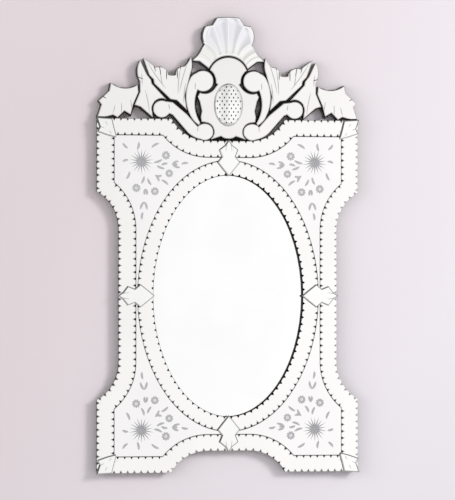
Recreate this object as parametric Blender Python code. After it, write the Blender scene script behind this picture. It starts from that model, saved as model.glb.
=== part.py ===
"""Wall mirror: an oval mirror plate in a shaped frame faced with cut mirror glass, with a pierced
glass crest. The wall is the plane y = 0 and the front faces -Y. The origin is on the back of the
board, on the centre plane, between the oval opening and the top edge of the frame."""

import math

import bmesh
import bpy
from mathutils import Matrix, Vector
from mathutils.geometry import delaunay_2d_cdt

# The frame: corner blocks that stand out from a recessed middle on each side
FRAME_WIDTH = 0.711
FRAME_HEIGHT = 0.940
SIDE_RECESS = 0.0585
END_RECESS = 0.0575
SIDE_BLOCK = 0.195
END_BLOCK = 0.201
COVE_RADIUS = 0.111

# The strips of glass, and the corner panels' narrow ends between them
SIDE_STRIP_WIDTH = 0.046
END_STRIP_WIDTH = 0.0435
INNER_STRIP_SIDE_WIDTH = 0.0425
INNER_STRIP_END_WIDTH = 0.0396
PANEL_SIDE_NECK = 0.0055
PANEL_END_NECK = 0.0089
SEAM = 0.001
NOTCH_PITCH = 0.0184
NOTCH_DEPTH = 0.006
NOTCH_MOUTH = 0.007

# Thicknesses, counted from the wall
BOARD_THICKNESS = 0.021
LIP_THICKNESS = 0.008
GLASS_THICKNESS = 0.004
BACK_PANEL_THICKNESS = 0.006
REBATE_LAP = 0.010
REBATE_PLAY = 0.001
GAP = 0.0003

# The crest stands on the top edge of the frame and hangs down into its recess
CREST_RISE = 0.273
CREST_BOARD_MARGIN = 0.003
CREST_FOOT_DEPTH = 0.008
CABOCHON_WIDTH = 0.078
CABOCHON_HEIGHT = 0.114
CABOCHON_RISE = 0.009
CABOCHON_PLACE = 38.5

# The clasps lie over the joints between the strips
SIDE_CLASP_WIDTH = 0.062
SIDE_CLASP_OVERHANG = 0.003
CORNER_CLASP_REACH = 0.052
CLASP_THICKNESS = 0.006

# V cuts in the glass
CUT_WIDTH = 0.0045
CUT_DEPTH = 0.0012

# The origin's height above the middle of the frame
ORIGIN_HEIGHT = 0.373

# How finely curves are stepped
ARC_STEP = math.radians(30)
EDGE_STEP = 0.028
OVAL_SIDES = 56

half_width = FRAME_WIDTH / 2
half_height = FRAME_HEIGHT / 2
recess_line = half_height - END_RECESS
waist_line = half_width - SIDE_RECESS
inner_oval = Vector((
    waist_line - SIDE_STRIP_WIDTH - PANEL_SIDE_NECK, recess_line - END_STRIP_WIDTH - PANEL_END_NECK
))
oval = inner_oval - Vector((INNER_STRIP_SIDE_WIDTH, INNER_STRIP_END_WIDTH))
mirror_oval = oval + Vector((REBATE_LAP, REBATE_LAP))
rebate_oval = mirror_oval + Vector((REBATE_PLAY, REBATE_PLAY))
board_front = BOARD_THICKNESS
glass_back = board_front + GAP
glass_front = glass_back + GLASS_THICKNESS
clasp_back = glass_front + GAP
mirror_front = BOARD_THICKNESS - LIP_THICKNESS - GAP
mirror_back = mirror_front - GLASS_THICKNESS
back_panel_front = mirror_back - GAP


def fresh_collection(name):
    collection = bpy.data.collections.new(name)
    bpy.context.scene.collection.children.link(collection)
    return collection


def material(name, colour, roughness, metallic):
    """A Principled finish, made once and shared by every piece that asks for it."""
    if name in bpy.data.materials:
        return bpy.data.materials[name]
    made = bpy.data.materials.new(name)
    made.use_nodes = True
    made.diffuse_color = (*colour, 1)
    shader = made.node_tree.nodes["Principled BSDF"]
    shader.inputs["Base Color"].default_value = (*colour, 1)
    shader.inputs["Roughness"].default_value = roughness
    shader.inputs["Metallic"].default_value = metallic
    return made


def black_paint():
    return material("black_paint", (0.01, 0.009, 0.01), 0.45, 0.0)


def mirror_glass():
    return material("mirror_glass", (0.9, 0.9, 0.9), 0.03, 1.0)


def hardboard():
    return material("hardboard", (0.16, 0.09, 0.045), 0.8, 0.0)


def placed(name, mesh, finish, collection):
    obj = bpy.data.objects.new(name, mesh)
    collection.objects.link(obj)
    mesh.materials.clear()
    mesh.materials.append(finish)
    return obj


def plate(name, outline, back, front, finish, collection):
    """A flat plate: a filled curve in the plane of the wall, from y = -back to y = -front."""
    curve = bpy.data.curves.new(name, "CURVE")
    curve.dimensions = "2D"
    curve.fill_mode = "BOTH"
    curve.extrude = (front - back) / 2
    spline = curve.splines.new("POLY")
    spline.points.add(len(outline) - 1)
    for point, (x, z) in zip(spline.points, outline):
        point.co = (x, z - ORIGIN_HEIGHT, 0, 1)
    spline.use_cyclic_u = True
    drawn = bpy.data.objects.new(name + "_outline", curve)
    drawn.location.y = -(front + back) / 2
    drawn.rotation_euler.x = math.pi / 2
    collection.objects.link(drawn)
    bpy.context.view_layer.update()
    graph = bpy.context.evaluated_depsgraph_get()
    mesh = bpy.data.meshes.new_from_object(drawn.evaluated_get(graph))
    mesh.transform(drawn.matrix_world)
    bpy.data.objects.remove(drawn)
    weld(mesh)
    mesh.name = name
    return placed(name, mesh, finish, collection)


def finish_mesh(shape, mesh):
    """Writes a shape to its mesh with every face turned outwards."""
    shape.normal_update()
    bmesh.ops.recalc_face_normals(shape, faces=shape.faces)
    shape.to_mesh(mesh)
    shape.free()
    return mesh


def weld(mesh):
    """Joins the loose caps of a curve to its sides."""
    shape = bmesh.new()
    shape.from_mesh(mesh)
    bmesh.ops.remove_doubles(shape, verts=shape.verts, dist=1e-6)
    finish_mesh(shape, mesh)


def oval_plate(name, half_axes, back, front, finish, collection):
    """An oval plate, round which the sides are even steps."""
    shape = bmesh.new()
    bmesh.ops.create_cone(
        shape, cap_ends=True, segments=OVAL_SIDES, radius1=1, radius2=1, depth=front - back
    )
    shape.transform(Matrix.Rotation(math.pi / 2, 4, "X"))
    shape.transform(Matrix.Diagonal((half_axes.x, 1, half_axes.y, 1)))
    shape.transform(Matrix.Translation((0, -(front + back) / 2, -ORIGIN_HEIGHT)))
    mesh = finish_mesh(shape, bpy.data.meshes.new(name))
    return placed(name, mesh, finish, collection)


def fused_plate(name, outlines, back, front, finish, collection):
    """A flat plate whose outline is that of several overlapping ones together. The outlines are
    meshed as one flat net, and the net is then given its thickness."""
    points = []
    loops = []
    for outline in outlines:
        facing = outline if signed_area(outline) > 0 else outline[::-1]
        loops.append(list(range(len(points), len(points) + len(facing))))
        points += facing
    corners, _, faces, _, _, sources = delaunay_2d_cdt(points, [], loops, 1, 1e-6)
    shape = bmesh.new()
    verts = [shape.verts.new((x, -back, z - ORIGIN_HEIGHT)) for x, z in corners]
    for face, source in zip(faces, sources):
        if source:
            shape.faces.new([verts[i] for i in face])
    unused = [vert for vert in shape.verts if not vert.link_faces]
    bmesh.ops.delete(shape, geom=unused, context="VERTS")
    bmesh.ops.dissolve_limit(shape, angle_limit=1e-3, verts=shape.verts, edges=shape.edges)
    raised = bmesh.ops.extrude_face_region(shape, geom=shape.faces[:], use_keep_orig=True)["geom"]
    moved = [item for item in raised if isinstance(item, bmesh.types.BMVert)]
    bmesh.ops.translate(shape, verts=moved, vec=(0, back - front, 0))
    return placed(name, finish_mesh(shape, bpy.data.meshes.new(name)), finish, collection)


def cut_away(obj, cutters):
    """Cuts hidden shapes out of an object."""
    for cutter in cutters:
        cutter.hide_render = True
        cutter.display_type = "WIRE"
        modifier = obj.modifiers.new("cut", "BOOLEAN")
        modifier.operation = "DIFFERENCE"
        modifier.solver = "EXACT"
        modifier.object = cutter


# Outlines

def signed_area(points):
    return sum(a[0] * b[1] - b[0] * a[1] for a, b in zip(points, points[1:] + points[:1])) / 2


def curved(corners):
    """The points of an outline whose corners are (x, z, bow). Bow is how far the edge to the next
    corner bulges outwards, as a share of its length, and the edge is an arc of a circle."""
    turn = 1 if signed_area(corners) > 0 else -1
    points = []
    for (x, z, bow), (next_x, next_z, _) in zip(corners, corners[1:] + corners[:1]):
        start = Vector((x, z))
        chord = Vector((next_x, next_z)) - start
        points.append(start)
        sweep = 4 * math.atan(2 * abs(bow))
        steps = max(1, math.ceil(sweep / ARC_STEP)) if bow else 1
        if steps == 1:
            continue
        side = Vector((chord.y, -chord.x)).normalized() * turn * math.copysign(1, bow)
        radius = chord.length / 2 / math.sin(sweep / 2)
        middle = start + chord / 2 - side * radius * math.cos(sweep / 2)
        for step in range(1, steps):
            angle = sweep * (step / steps - 0.5)
            along = chord.normalized() * math.sin(angle) + side * math.cos(angle)
            points.append(middle + along * radius)
    return points


def grown(points, margin):
    """The outline moved outwards by a margin, its sharp corners cut to twice the margin."""
    turn = 1 if signed_area(points) > 0 else -1
    moved = []
    for before, here, after in zip(points[-1:] + points[:-1], points, points[1:] + points[:1]):
        first = (here - before).normalized()
        second = (after - here).normalized()
        out = Vector((first.y + second.y, -first.x - second.x)) * turn
        reach = min(2.0, 2 / max(out.length, 0.1))
        moved.append(here + out.normalized() * margin * reach)
    return moved


def line(start, end):
    return lambda share: Vector(start).lerp(Vector(end), share)


def arc(centre, half_axes, start, end):
    """An arc of an ellipse. The angles are in radians from +x towards +z."""
    def point(share):
        angle = start + (end - start) * share
        return Vector((
            centre[0] + half_axes[0] * math.cos(angle), centre[1] + half_axes[1] * math.sin(angle)
        ))
    return point


def length_of(edge, samples=64):
    points = [edge(i / samples) for i in range(samples + 1)]
    return sum((b - a).length for a, b in zip(points, points[1:]))


def evenly(edge, places, samples=256):
    """The points of an edge that lie at the given distances along it."""
    points = [edge(i / samples) for i in range(samples + 1)]
    found = []
    walked = 0.0
    index = 0
    for place in places:
        while walked + (points[index + 1] - points[index]).length < place and index < samples - 1:
            walked += (points[index + 1] - points[index]).length
            index += 1
        step = points[index + 1] - points[index]
        found.append(points[index] + step.normalized() * (place - walked))
    return found


def notched(edge, side):
    """The points of an edge with V notches ground into it, side being 1 where the glass lies to the
    left of the way it runs and -1 where it lies to the right."""
    length = length_of(edge)
    count = max(1, round(length / NOTCH_PITCH))
    points = [edge(0.0)]
    for i in range(count):
        middle = (i + 0.5) * length / count
        start, tip, end = evenly(
            edge, [middle - NOTCH_MOUTH / 2, middle, middle + NOTCH_MOUTH / 2]
        )
        way = (end - start).normalized()
        points += [start, tip + Vector((-way.y, way.x)) * NOTCH_DEPTH * side, end]
    points.append(edge(1.0))
    return points


def smooth(edge, side):
    """The points of a plain edge, with a straight stretch as its two ends."""
    ends = edge(1.0) - edge(0.0)
    bow = (edge(0.5) - edge(0.0) - ends / 2).length
    steps = 1 if bow < 1e-5 else max(4, round(length_of(edge) / EDGE_STEP))
    return evenly(edge, [length_of(edge) * i / steps for i in range(steps)]) + [edge(1.0)]


def joined(edges, side, style):
    """The points of edges that follow one another."""
    points = []
    for edge in edges:
        for point in style(edge, side):
            if not points or (point - points[-1]).length > 1e-5:
                points.append(point)
    return points


def end_rail(inset, start, corner_play=0.0, side_inset=None):
    """The edges from the middle of the top side to the corner block's corner, for a line that lies
    inset within the frame's outline. Points are (distance from centre plane, height)."""
    side_inset = inset if side_inset is None else side_inset
    centre = Vector((cove_end_x, recess_line + COVE_RADIUS))
    radius = COVE_RADIUS + inset
    sweep = math.acos((centre.y - half_height + inset) / radius)
    flat = recess_line - inset
    return [
        line((start, flat), (centre.x, flat)),
        arc(centre, (radius, radius), -math.pi / 2, sweep - math.pi / 2),
        line(
            (centre.x + radius * math.sin(sweep), half_height - inset),
            (half_width - side_inset - corner_play, half_height - inset),
        ),
    ]


def side_rail(inset, start, corner_play=0.0, end_inset=None):
    """The edges from the corner block's corner down to the middle of the right side."""
    end_inset = inset if end_inset is None else end_inset
    centre = Vector((waist_line + COVE_RADIUS, cove_end_z))
    radius = COVE_RADIUS + inset
    sweep = math.acos((centre.x - half_width + inset) / radius)
    flat = waist_line - inset
    return [
        line(
            (half_width - inset, half_height - end_inset - corner_play),
            (half_width - inset, centre.y + radius * math.sin(sweep)),
        ),
        arc(centre, (radius, radius), math.pi - sweep, math.pi),
        line((flat, centre.y), (flat, start)),
    ]


def reversed_edges(edges):
    return [lambda share, edge=edge: edge(1.0 - share) for edge in reversed(edges)]


def cove_run(recess):
    """How far a cove runs along the side from the block to the recessed line."""
    return math.sqrt(COVE_RADIUS**2 - (COVE_RADIUS - recess) ** 2)


cove_end_x = half_width - END_BLOCK - cove_run(END_RECESS)
cove_end_z = half_height - SIDE_BLOCK - cove_run(SIDE_RECESS)


def turned(points, side_x, side_z):
    """An outline of the upper right quarter, put in another quarter."""
    return [Vector((x * side_x, z * side_z)) for x, z in points]


QUARTERS = {
    "top_left": (-1, 1), "top_right": (1, 1), "bottom_left": (-1, -1), "bottom_right": (1, -1)
}


def frame_outline():
    """The board's outline without the crest, all the way round."""
    quarter = joined(end_rail(0, 0) + side_rail(0, 0), 1, smooth)
    half = quarter + turned(quarter, 1, -1)[::-1][1:]
    return half + turned(half, -1, 1)[::-1][1:-1]


def end_strip_outline():
    outer = joined(end_rail(0, SEAM / 2, SEAM), -1, notched)
    inner_edges = end_rail(END_STRIP_WIDTH, SEAM / 2, SEAM, SIDE_STRIP_WIDTH)
    return outer + joined(reversed_edges(inner_edges), -1, notched)


def side_strip_outline():
    outer = joined(side_rail(0, SEAM / 2, SEAM), -1, notched)
    inner_edges = side_rail(SIDE_STRIP_WIDTH, SEAM / 2, SEAM, END_STRIP_WIDTH)
    return outer + joined(reversed_edges(inner_edges), -1, notched)


def oval_edge(half_axes):
    """A quarter of an oval, from the middle of the top round to the middle of the right side,
    which stops half a seam short of both."""
    start = math.acos(SEAM / 2 / half_axes.x)
    end = math.asin(SEAM / 2 / half_axes.y)
    return arc((0, 0), half_axes, start, end)


def inner_strip_outline():
    outer = notched(oval_edge(inner_oval), -1)
    return outer + smooth(*reversed_edges([oval_edge(oval)]), -1)


def corner_panel_outline():
    end_inset = END_STRIP_WIDTH + SEAM
    side_inset = SIDE_STRIP_WIDTH + SEAM
    rail = end_rail(end_inset, SEAM / 2, 0, side_inset) + side_rail(side_inset, SEAM / 2, 0, end_inset)
    edge = oval_edge(inner_oval + Vector((SEAM, SEAM)))
    return joined(rail, 1, smooth) + joined(reversed_edges([edge]), 1, smooth)


# The crest's shapes, drawn in millimetres on its right half as (distance from the centre plane,
# height above the corner blocks, bow). The drawing's landmarks are the mouth of the recess, the
# frame's edge, the recessed line and the top of the shell, and it stretches to fit the real ones.
# The foot is how far the board behind the crest is joined to the frame on either side.
LANDMARKS = {"mouth": 154.5, "edge": 355.5, "recess": 60.0, "top": 273.5}
FOOT = 75

OUTER_LEAF = [
    (318, 94, -0.16), (246, 90, 0), (244, 70, 0), (258, 38, 0), (265, 10, -0.05), (282, 20, -0.05),
    (300, 2, -0.06), (312, 9, 0.04), (335, 2.5, 0), (354, 3, 0), (343, 36, 0), (351, 46, 0),
    (322, 73, 0),
]
MID_LEAF = [
    (239, 154, 0.14), (240, 100, 0), (239.5, 70, 0), (254, 36, 0.03), (238, 31, 0.04),
    (205, 3, 0), (207, 19, -0.325), (168.6, 51, 0), (208, 93, 0), (210, 103, 0), (222, 118, 0.03),
]
ACANTHUS = [
    (231, 162, 0), (197, 137, 0.24), (163.5, 118, -0.08), (143, 118, 0.12), (130, 139.5, 0),
    (119, 141, -0.1), (103, 167, 0.1), (103, 122, -0.05), (119, 62, 0), (113, 24, 0),
    (140, 49.5, 0), (157, 52, 0), (201, 93, 0), (203, 104, 0), (214, 115, 0.05),
]
C_SCROLL = [
    (86.5, 123.5, 0.1), (104, 107, 0.12), (104, 11, 0.08), (80, -17, 0), (77, -10, -0.12),
    (84, 78, 0.97),
]
S_SCROLL = [
    (172, 47, 0.84), (168, 7, 0), (160, 14, 0.06), (151, 10, -0.03), (111, -37, 0.08),
    (75.5, -56, 1.07), (83, -21, 0), (86, -18.5, 0), (112.5, 12, 0.03), (152, 44.5, 0.05),
]
HALF_SHELL = [
    (0, 273.5, 0.02), (31, 271.5, -0.05), (43, 252, 0), (61, 249, 0.16), (65, 199.5, 0.05),
    (82, 171.5, 0), (97, 158, 0), (97, 155, 0), (78, 154, 0), (52.5, 135, -0.15), (0, 169.5, 0),
]
HALF_CARTOUCHE = [
    (0, 165.5, 0.158), (50, 130.5, -0.145), (34, 97, 0), (29, 92.5, 0), (37, 82, -0.163),
    (77, 70.5, 0), (83, 59.5, 0), (78, 48.5, 0), (72, 22, 0), (75, 6, 0), (73, -7.5, 0),
    (59.5, -9.5, -0.297), (46, -53.5, 0), (46, -56, -0.05), (20, -47, 0.1), (0, -54, 0),
]
# Where the board closes the wider gaps between pieces of the crest
WEBS = [
    [(114, 28), (158, 55), (172, 47), (116, 8)],
    [(252, 84), (250, 60), (262, 20), (246, 44), (234, 84)],
]
# V cuts, each from its deep end to its fine end: flutes of the shell and veins of the leaves
SHELL_CUTS = [
    ((0, 262), (0, 178)), ((33, 250), (13, 178)), ((58, 215), (27, 172)), ((76, 178), (42, 158)),
]
OUTER_LEAF_CUTS = [((262, 24), (266, 62)), ((318, 16), (302, 66))]
MID_LEAF_CUTS = [((214, 14), (226, 76))]
ACANTHUS_CUTS = [((220, 150), (168, 78)), ((111, 150), (133, 70))]


def crest_point(x, z):
    """A point of the crest's drawing, in metres from the middle of the frame."""
    mouth = half_width - END_BLOCK
    past_mouth = abs(x) - LANDMARKS["mouth"]
    if past_mouth <= 0:
        real_x = abs(x) * mouth / LANDMARKS["mouth"]
    else:
        real_x = mouth + past_mouth * END_BLOCK / (LANDMARKS["edge"] - LANDMARKS["mouth"])
    real_z = z * (CREST_RISE / LANDMARKS["top"] if z > 0 else END_RECESS / LANDMARKS["recess"])
    return Vector((math.copysign(real_x, x), half_height + real_z))


def both_halves(half):
    """A symmetrical shape, from the half of its corners between its top and its bottom."""
    bows = [bow for _, _, bow in half]
    mirrored = [(-x, z, bow) for (x, z, _), bow in zip(half[::-1], bows[::-1][1:] + [0])]
    return half[:-1] + [(half[-1][0], half[-1][1], bows[-2])] + mirrored[1:-1]


def crest_outline(corners, side=1):
    points = [crest_point(x, z) for x, z in curved(corners)]
    return turned(points, side, 1)


def cut_tool(name, cuts, front, cutters):
    """Long tapered wedges, half sunk in the glass, that cut V grooves. A cut runs from its wide end
    to its fine end, in metres."""
    shape = bmesh.new()
    for start, end in cuts:
        way = end - start
        wedge = bmesh.ops.create_cone(
            shape, cap_ends=True, segments=4, radius1=1, radius2=0.2, depth=way.length
        )["verts"]
        lean = math.atan2(way.x, way.y)
        bmesh.ops.rotate(shape, verts=wedge, matrix=Matrix.Rotation(math.pi / 4, 3, "Z"))
        bmesh.ops.scale(shape, verts=wedge, vec=(CUT_WIDTH / 2, CUT_DEPTH, 1))
        bmesh.ops.rotate(shape, verts=wedge, matrix=Matrix.Rotation(lean, 3, "Y"))
        middle = (start + end) / 2
        bmesh.ops.translate(shape, verts=wedge, vec=(middle.x, -front, middle.y - ORIGIN_HEIGHT))
    return placed(name, finish_mesh(shape, bpy.data.meshes.new(name)), mirror_glass(), cutters)


def engrave(obj, cuts, front, cutters):
    cut_away(obj, [cut_tool(obj.name + "_cuts", cuts, front, cutters)])


def drawn_cuts(cuts, side):
    return [[turned([crest_point(*end)], side, 1)[0] for end in cut] for cut in cuts]


# Pieces, in the order in which the mirror is put together

def make_frame_board(pieces, cutters):
    """One board with the whole silhouette, its oval opening and the rebate behind it."""
    outlines = [crest_outline(both_halves(half)) for half in (HALF_SHELL, HALF_CARTOUCHE)]
    for side in (-1, 1):
        for shape in (OUTER_LEAF, MID_LEAF, ACANTHUS, C_SCROLL, S_SCROLL):
            outlines.append(crest_outline(shape, side))
        outlines += [turned([crest_point(*p) for p in web], side, 1) for web in WEBS]
    foot_top = recess_line + CREST_FOOT_DEPTH
    foot_bottom = recess_line - CREST_FOOT_DEPTH
    foot_x = crest_point(FOOT, 0).x
    foot = [(-foot_x, foot_bottom), (foot_x, foot_bottom), (foot_x, foot_top), (-foot_x, foot_top)]
    outlines.append([Vector(corner) for corner in foot])
    backing = [grown(outline, CREST_BOARD_MARGIN) for outline in outlines]
    board = fused_plate(
        "frame_board", [frame_outline()] + backing, 0, board_front, black_paint(), pieces
    )
    past = 0.005
    opening = oval_plate("oval_opening", oval, -past, board_front + past, black_paint(), cutters)
    rebate_depth = BOARD_THICKNESS - LIP_THICKNESS
    rebate = oval_plate("oval_rebate", rebate_oval, -past, rebate_depth, black_paint(), cutters)
    cut_away(board, [opening, rebate])


def make_mirror_and_back(pieces):
    oval_plate("centre_mirror", mirror_oval, mirror_back, mirror_front, mirror_glass(), pieces)
    back = back_panel_front - BACK_PANEL_THICKNESS
    oval_plate("back_panel", mirror_oval, back, back_panel_front, hardboard(), pieces)


def make_strips_and_panels(pieces):
    flat = (glass_back, glass_front, mirror_glass(), pieces)
    for quarter, signs in QUARTERS.items():
        upright, hand = quarter.split("_")
        half = {"top": "upper", "bottom": "lower"}[upright]
        plate(f"outer_strip_{quarter}", turned(end_strip_outline(), *signs), *flat)
        plate(f"outer_strip_{hand}_{half}", turned(side_strip_outline(), *signs), *flat)
        plate(f"inner_strip_{quarter}", turned(inner_strip_outline(), *signs), *flat)
        plate(f"corner_panel_{quarter}", turned(corner_panel_outline(), *signs), *flat)


def make_corner_clasps(pieces):
    """Each is a leaf with its stem at the frame's corner, drawn as shares of its reach, counted
    inwards from the two sides of the corner block."""
    shares = [(-0.04, -0.04), (0.77, 0.01), (0.88, 0.46), (1.0, 0.88), (0.96, 0.98), (0.52, 0.87),
              (0.0, 0.69), (0.13, 0.45)]
    for quarter, signs in QUARTERS.items():
        def inward(share):
            x, z = (part * CORNER_CLASP_REACH for part in share)
            return turned([(half_width - x, half_height - z)], *signs)[0]
        plate(
            f"corner_clasp_{quarter}", [inward(share) for share in shares],
            clasp_back, clasp_back + CLASP_THICKNESS, mirror_glass(), pieces,
        )


def make_side_clasps(pieces):
    """Each is a double arrow across the frame, drawn as shares of its half width and of the way
    from the frame's edge to the oval."""
    half = [(0, 0), (0.3, 0.14), (0.84, 0.27), (0.6, 0.46), (1.0, 0.61), (0.55, 0.79), (0, 1)]
    outline = half + [(-across, along) for across, along in half[-2:0:-1]]
    sides = {
        "top": (0, 1, recess_line, oval.y), "bottom": (0, -1, recess_line, oval.y),
        "left": (-1, 0, waist_line, oval.x), "right": (1, 0, waist_line, oval.x),
    }
    for side, (out_x, out_z, edge, inner) in sides.items():
        def inward(share, out_x=out_x, out_z=out_z, edge=edge, inner=inner):
            across = share[0] * SIDE_CLASP_WIDTH / 2
            reach = edge - inner + 2 * SIDE_CLASP_OVERHANG
            out = edge + SIDE_CLASP_OVERHANG - share[1] * reach
            return Vector((out_x * out + out_z * across, out_z * out + out_x * across))
        plate(
            f"side_clasp_{side}", [inward(share) for share in outline],
            clasp_back, clasp_back + CLASP_THICKNESS, mirror_glass(), pieces,
        )


def make_crest(pieces, cutters):
    flat = (glass_back, glass_front, mirror_glass(), pieces)
    shell = plate("crest_shell", crest_outline(both_halves(HALF_SHELL)), *flat)
    flutes = drawn_cuts(SHELL_CUTS, 1) + drawn_cuts(SHELL_CUTS[1:], -1)
    engrave(shell, flutes, glass_front, cutters)
    plate("crest_cartouche", crest_outline(both_halves(HALF_CARTOUCHE)), *flat)
    shapes = {
        "outer_leaf": (OUTER_LEAF, OUTER_LEAF_CUTS), "mid_leaf": (MID_LEAF, MID_LEAF_CUTS),
        "acanthus": (ACANTHUS, ACANTHUS_CUTS), "c_scroll": (C_SCROLL, []),
        "s_scroll": (S_SCROLL, []),
    }
    for hand, side in (("left", -1), ("right", 1)):
        for name, (corners, cuts) in shapes.items():
            piece = plate(f"crest_{name}_{hand}", crest_outline(corners, side), *flat)
            if cuts:
                engrave(piece, drawn_cuts(cuts, side), glass_front, cutters)


def make_cabochon(pieces):
    """A low dome of oval outline on the middle of the cartouche."""
    shape = bmesh.new()
    bmesh.ops.create_uvsphere(shape, u_segments=20, v_segments=6, radius=1)
    whole = shape.verts[:] + shape.edges[:] + shape.faces[:]
    bmesh.ops.bisect_plane(
        shape, geom=whole, dist=1e-4, plane_co=(0, 0, 0), plane_no=(0, 0, 1), clear_inner=True
    )
    bmesh.ops.holes_fill(shape, edges=shape.edges, sides=0)
    shape.transform(Matrix.Rotation(math.pi / 2, 4, "X"))
    shape.transform(Matrix.Diagonal((CABOCHON_WIDTH / 2, CABOCHON_RISE, CABOCHON_HEIGHT / 2, 1)))
    middle = crest_point(0, CABOCHON_PLACE)
    shape.transform(Matrix.Translation((0, -clasp_back, middle.y - ORIGIN_HEIGHT)))
    mesh = finish_mesh(shape, bpy.data.meshes.new("crest_cabochon"))
    mesh.shade_smooth()
    mesh.set_sharp_from_angle(angle=math.radians(40))
    placed("crest_cabochon", mesh, mirror_glass(), pieces)


def main():
    for obj in list(bpy.data.objects):
        bpy.data.objects.remove(obj)
    pieces = fresh_collection("wall_mirror")
    cutters = fresh_collection("cutters")
    make_frame_board(pieces, cutters)
    make_mirror_and_back(pieces)
    make_strips_and_panels(pieces)
    make_corner_clasps(pieces)
    make_side_clasps(pieces)
    make_crest(pieces, cutters)
    make_cabochon(pieces)


main()
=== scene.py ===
import math

import bmesh
import bpy
from mathutils import Matrix, Vector
from mathutils.geometry import intersect_line_line


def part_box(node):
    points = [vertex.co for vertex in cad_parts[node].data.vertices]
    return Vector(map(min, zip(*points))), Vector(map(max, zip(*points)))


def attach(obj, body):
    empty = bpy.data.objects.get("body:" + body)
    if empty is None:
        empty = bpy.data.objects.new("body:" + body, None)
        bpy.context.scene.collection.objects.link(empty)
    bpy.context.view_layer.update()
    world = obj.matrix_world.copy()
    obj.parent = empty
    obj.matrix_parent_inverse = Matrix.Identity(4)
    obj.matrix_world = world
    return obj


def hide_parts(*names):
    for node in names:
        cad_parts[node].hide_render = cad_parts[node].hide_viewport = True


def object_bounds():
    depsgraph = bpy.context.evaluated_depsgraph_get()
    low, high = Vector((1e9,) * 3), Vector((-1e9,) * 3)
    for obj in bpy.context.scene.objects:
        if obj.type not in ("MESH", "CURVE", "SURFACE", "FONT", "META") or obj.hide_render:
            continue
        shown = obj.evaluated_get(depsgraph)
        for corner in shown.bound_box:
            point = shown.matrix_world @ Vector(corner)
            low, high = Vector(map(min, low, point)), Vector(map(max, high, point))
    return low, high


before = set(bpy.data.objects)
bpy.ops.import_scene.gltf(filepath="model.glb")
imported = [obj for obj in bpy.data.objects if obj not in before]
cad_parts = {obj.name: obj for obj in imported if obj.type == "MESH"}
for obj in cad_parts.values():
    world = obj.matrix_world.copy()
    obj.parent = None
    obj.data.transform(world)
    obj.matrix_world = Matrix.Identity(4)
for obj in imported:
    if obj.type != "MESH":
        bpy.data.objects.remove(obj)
cad_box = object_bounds()


# The board that carries everything is cut from one sheet of fibreboard to the whole outline with
# the pierced crest, with an oval opening rebated from behind, and is painted satin black.

MERGE = 1e-6
COPLANAR = math.radians(0.3)
ROUND_TURN = (math.radians(1.5), math.radians(31))
EVEN_SHARE = 0.08
FINE_TURN = math.radians(5)
BOARD_EDGE = 0.0007
PLATE_PLAY = 0.0003
CUT_PAST = 0.005


def flat_loops(node, at_front=False):
    """The outlines of a flat solid's back or front face, as loops of (x, z), the largest first."""
    shape = bmesh.new()
    shape.from_mesh(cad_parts[node].data)
    bmesh.ops.remove_doubles(shape, verts=shape.verts, dist=MERGE)
    low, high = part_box(node)
    level = low.y if at_front else high.y
    others = [f for f in shape.faces if any(abs(v.co.y - level) > MERGE for v in f.verts)]
    bmesh.ops.delete(shape, geom=others, context="FACES")
    bmesh.ops.dissolve_limit(shape, angle_limit=COPLANAR, verts=shape.verts, edges=shape.edges)
    rim = {edge: True for edge in shape.edges if edge.is_boundary}
    loops = []
    while rim:
        start = next(iter(rim))
        rim.pop(start)
        first, here = start.verts
        loop = [first]
        while here != first:
            loop.append(here)
            edge = next(edge for edge in here.link_edges if edge in rim)
            rim.pop(edge)
            here = edge.other_vert(here)
        loops.append([Vector((vert.co.x, vert.co.z)) for vert in loop])
    shape.free()
    return sorted(loops, key=lambda loop: -abs(loop_area(loop)))


def loop_area(loop):
    return sum(a.cross(b) for a, b in zip(loop, loop[1:] + loop[:1])) / 2


def fine_arcs(loop):
    """The loop with its stepped round stretches made fine. A corner belongs to one where it turns
    little and the edges on both sides of it are as long."""
    bends = []
    for before, here, after in zip(loop[-1:] + loop[:-1], loop, loop[1:] + loop[:1]):
        first, second = here - before, after - here
        turn = -first.angle_signed(second)
        even = abs(first.length - second.length) < EVEN_SHARE * max(first.length, second.length)
        bends.append(turn if even and ROUND_TURN[0] < abs(turn) < ROUND_TURN[1] else None)
    fine = []
    for here, after, *near in zip(loop, loop[1:] + loop[:1], bends, bends[1:] + bends[:1]):
        fine.append(here)
        known = [bend for bend in near if bend is not None]
        if not known:
            continue
        bend = sum(known) / len(known)
        chord = after - here
        side = Vector((chord.y, -chord.x)).normalized() * math.copysign(1, bend)
        radius = chord.length / 2 / math.sin(abs(bend) / 2)
        centre = here + chord / 2 - side * radius * math.cos(bend / 2)
        steps = math.ceil(abs(bend) / FINE_TURN)
        for step in range(1, steps):
            angle = abs(bend) * (step / steps - 0.5)
            along = chord.normalized() * math.sin(angle) + side * math.cos(angle)
            fine.append(centre + along * radius)
    return fine


def slab(loop, back, front):
    """A flat solid with this outline, from y = back forward to y = front, and its front face."""
    shape = bmesh.new()
    verts = [shape.verts.new((x, back, z)) for x, z in loop]
    for here, after in zip(verts, verts[1:] + verts[:1]):
        shape.edges.new((here, after))
    bmesh.ops.contextual_create(shape, geom=shape.edges[:])
    raised = bmesh.ops.extrude_face_region(shape, geom=shape.faces[:], use_keep_orig=True)["geom"]
    moved = [item for item in raised if isinstance(item, bmesh.types.BMVert)]
    bmesh.ops.translate(shape, verts=moved, vec=(0, front - back, 0))
    shape.normal_update()
    bmesh.ops.recalc_face_normals(shape, faces=shape.faces)
    return shape, next(item for item in raised if isinstance(item, bmesh.types.BMFace))


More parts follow.
